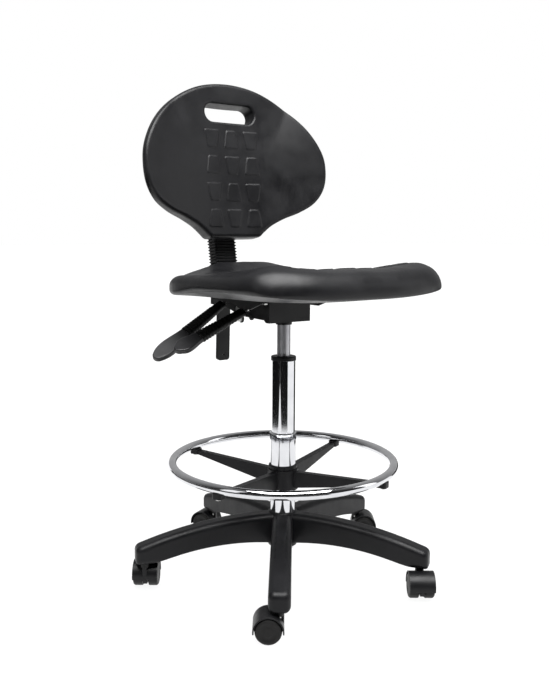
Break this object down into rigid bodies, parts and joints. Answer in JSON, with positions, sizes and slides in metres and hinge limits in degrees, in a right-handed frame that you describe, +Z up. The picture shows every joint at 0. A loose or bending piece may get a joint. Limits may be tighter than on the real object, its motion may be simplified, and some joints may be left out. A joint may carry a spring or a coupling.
{
  "type": "drafting chair",
  "caption": "Height-adjustable drafting chair with moulded foam seat and backrest, flat back upright, foot ring on a chrome column and a five-star caster base.",
  "frame": {"origin": "on the floor under the column's axis", "axes": "+Z up along the column; the sitter faces -Y; +X is the sitter's left"},
  "size_m": [0.6485, 0.6498, 1.0586],
  "materials": {
    "foam_skin": "matte leather-grained integral skin, charcoal black",
    "nylon_black": "fine-textured glass-filled nylon, black",
    "chrome_plate": "bright mirror chrome",
    "grey_steel": "satin grey ground steel",
    "black_steel": "black powder coat, semi-matte",
    "bright_steel": "zinc-plated steel",
    "lever_plastic": "smooth black moulded plastic",
    "grip_rubber": "ribbed black rubber",
    "bellows_rubber": "pleated black rubber",
    "caster_plastic": "smooth black nylon",
    "wheel_nylon": "black nylon, slightly worn tread",
    "bushing_plastic": "off-white acetal",
    "buffer_rubber": "black rubber",
    "ply_board": "birch plywood"
  },
  "bodies": {
    "base": {"star_base": "nylon_black", "column_sleeve": "chrome_plate", "sleeve_collar": "chrome_plate", "lift_outer_tube": "chrome_plate", "lift_top_cap": "nylon_black", "guide_bushing": "bushing_plastic", "thrust_bearing": "bright_steel", "bump_stop": "buffer_rubber"},
    "lift_rod": {"piston_rod": "bright_steel", "piston_head": "bright_steel", "retaining_clip": "bright_steel"},
    "seat": {"seat_pad": "foam_skin", "seat_board": "ply_board", "seat_plate": "black_steel", "seat_bolts": "bright_steel", "mechanism_housing": "black_steel", "gas_cylinder": "grey_steel", "tilt_axle": "bright_steel", "lever_pins": "bright_steel", "stop_bolt": "bright_steel"},
    "valve_button": {"release_button": "bright_steel"},
    "height_lever": {"height_lever_rod": "bright_steel", "height_lever_grip": "grip_rubber", "height_lever_paddle": "lever_plastic"},
    "tilt_lever": {"tilt_lever_rod": "bright_steel", "tilt_lever_grip": "grip_rubber", "tilt_lever_paddle": "lever_plastic"},
    "back_arm": {"back_carrier": "black_steel"},
    "back_clamp": {"back_knob": "nylon_black"},
    "backrest": {"backrest_pad": "foam_skin", "back_insert": "bright_steel", "back_bolts": "bright_steel", "back_mount_plate": "black_steel", "back_bar": "black_steel", "bellows_cover": "bellows_rubber"},
    "foot_ring_carrier": {"foot_ring": "chrome_plate", "ring_hub": "nylon_black", "ring_screws": "bright_steel"},
    "ring_lock": {"ring_lock_collar": "nylon_black"},
    "caster_1": {"caster_hood_1": "caster_plastic", "caster_pins_1": "bright_steel"},
    "wheel_1a": {"caster_wheel_1a": "wheel_nylon"},
    "wheel_1b": {"caster_wheel_1b": "wheel_nylon"},
    "caster_2": {"caster_hood_2": "caster_plastic", "caster_pins_2": "bright_steel"},
    "wheel_2a": {"caster_wheel_2a": "wheel_nylon"},
    "wheel_2b": {"caster_wheel_2b": "wheel_nylon"},
    "caster_3": {"caster_hood_3": "caster_plastic", "caster_pins_3": "bright_steel"},
    "wheel_3a": {"caster_wheel_3a": "wheel_nylon"},
    "wheel_3b": {"caster_wheel_3b": "wheel_nylon"},
    "caster_4": {"caster_hood_4": "caster_plastic", "caster_pins_4": "bright_steel"},
    "wheel_4a": {"caster_wheel_4a": "wheel_nylon"},
    "wheel_4b": {"caster_wheel_4b": "wheel_nylon"},
    "caster_5": {"caster_hood_5": "caster_plastic", "caster_pins_5": "bright_steel"},
    "wheel_5a": {"caster_wheel_5a": "wheel_nylon"},
    "wheel_5b": {"caster_wheel_5b": "wheel_nylon"}
  },
  "joints": [
    {"name": "seat_swivel", "type": "hinge", "parent": "base", "child": "lift_rod", "pos_m": [0, 0, 0.064], "axis": [0, 0, 1], "continuous": true},
    {"name": "seat_height", "type": "slide", "parent": "lift_rod", "child": "seat", "axis": [0, 0, 1], "range_m": [-0.045, 0.2]},
    {"name": "height_lever_lift", "type": "hinge", "parent": "seat", "child": "height_lever", "pos_m": [-0.04269, 0.06, 0.57825], "axis": [0, 1, 0], "range_deg": [0, 5], "stiffness_Nm_per_rad": 1.5, "springref_deg": -8.59},
    {"name": "button_press", "type": "slide", "parent": "seat", "child": "valve_button", "axis": [0, 0, 1], "range_m": [-0.0045, 0], "stiffness_N_per_m": 1500},
    {"name": "tilt_lever_lift", "type": "hinge", "parent": "seat", "child": "tilt_lever", "pos_m": [-0.04312, 0.15146, 0.58982], "axis": [-0.2079, 0.9781, 0], "range_deg": [0, 6], "stiffness_Nm_per_rad": 1.5, "springref_deg": -8.59},
    {"name": "back_angle", "type": "hinge", "parent": "seat", "child": "back_arm", "pos_m": [0, 0.092, 0.572], "axis": [-1, 0, 0], "range_deg": [-3, 12]},
    {"name": "back_clamp_turn", "type": "hinge", "parent": "back_arm", "child": "back_clamp", "pos_m": [0, 0.25662, 0.60721], "axis": [0, 0.999, 0.0436], "range_deg": [0, 360]},
    {"name": "back_height", "type": "slide", "parent": "back_arm", "child": "backrest", "axis": [0, -0.0436, 0.999], "range_m": [0, 0.06], "deforming": ["bellows_cover"]},
    {"name": "foot_ring_height", "type": "slide", "parent": "base", "child": "foot_ring_carrier", "axis": [0, 0, 1], "range_m": [-0.045, 0.045]},
    {"name": "ring_lock_turn", "type": "hinge", "parent": "foot_ring_carrier", "child": "ring_lock", "pos_m": [0, 0, 0.243], "axis": [0, 0, 1], "range_deg": [0, 90]},
    {"name": "caster_1_swivel", "type": "hinge", "parent": "base", "child": "caster_1", "pos_m": [0, 0.298, 0.057], "axis": [0, 0, 1], "continuous": true},
    {"name": "wheel_1a_spin", "type": "hinge", "parent": "caster_1", "child": "wheel_1a", "pos_m": [-0.01, 0.31532, 0.025], "axis": [-0.866, -0.5, 0], "continuous": true},
    {"name": "wheel_1b_spin", "type": "hinge", "parent": "caster_1", "child": "wheel_1b", "pos_m": [-0.01, 0.31532, 0.025], "axis": [-0.866, -0.5, 0], "continuous": true},
    {"name": "caster_2_swivel", "type": "hinge", "parent": "base", "child": "caster_2", "pos_m": [-0.28341, 0.09209, 0.057], "axis": [0, 0, 1], "continuous": true},
    {"name": "wheel_2a_spin", "type": "hinge", "parent": "caster_2", "child": "wheel_2a", "pos_m": [-0.27194, 0.10847, 0.025], "axis": [-0.8192, 0.5736, 0], "continuous": true},
    {"name": "wheel_2b_spin", "type": "hinge", "parent": "caster_2", "child": "wheel_2b", "pos_m": [-0.27194, 0.10847, 0.025], "axis": [-0.8192, 0.5736, 0], "continuous": true},
    {"name": "caster_3_swivel", "type": "hinge", "parent": "base", "child": "caster_3", "pos_m": [-0.17516, -0.24109, 0.057], "axis": [0, 0, 1], "continuous": true},
    {"name": "wheel_3a_spin", "type": "hinge", "parent": "caster_3", "child": "wheel_3a", "pos_m": [-0.19164, -0.22976, 0.025], "axis": [-0.5664, -0.8241, 0], "continuous": true},
    {"name": "wheel_3b_spin", "type": "hinge", "parent": "caster_3", "child": "wheel_3b", "pos_m": [-0.19164, -0.22976, 0.025], "axis": [-0.5664, -0.8241, 0], "continuous": true},
    {"name": "caster_4_swivel", "type": "hinge", "parent": "base", "child": "caster_4", "pos_m": [0.17516, -0.24109, 0.057], "axis": [0, 0, 1], "continuous": true},
    {"name": "wheel_4a_spin", "type": "hinge", "parent": "caster_4", "child": "wheel_4a", "pos_m": [0.16383, -0.25757, 0.025], "axis": [0.8241, -0.5664, 0], "continuous": true},
    {"name": "wheel_4b_spin", "type": "hinge", "parent": "caster_4", "child": "wheel_4b", "pos_m": [0.16383, -0.25757, 0.025], "axis": [0.8241, -0.5664, 0], "continuous": true},
    {"name": "caster_5_swivel", "type": "hinge", "parent": "base", "child": "caster_5", "pos_m": [0.28341, 0.09209, 0.057], "axis": [0, 0, 1], "continuous": true},
    {"name": "wheel_5a_spin", "type": "hinge", "parent": "caster_5", "child": "wheel_5a", "pos_m": [0.2999, 0.08076, 0.025], "axis": [0.5664, 0.8241, 0], "continuous": true},
    {"name": "wheel_5b_spin", "type": "hinge", "parent": "caster_5", "child": "wheel_5b", "pos_m": [0.2999, 0.08076, 0.025], "axis": [0.5664, 0.8241, 0], "continuous": true}
  ],
  "couplings": [
    {"joint": "button_press", "follows": "height_lever_lift", "m_per_rad": -0.0493}
  ]
}
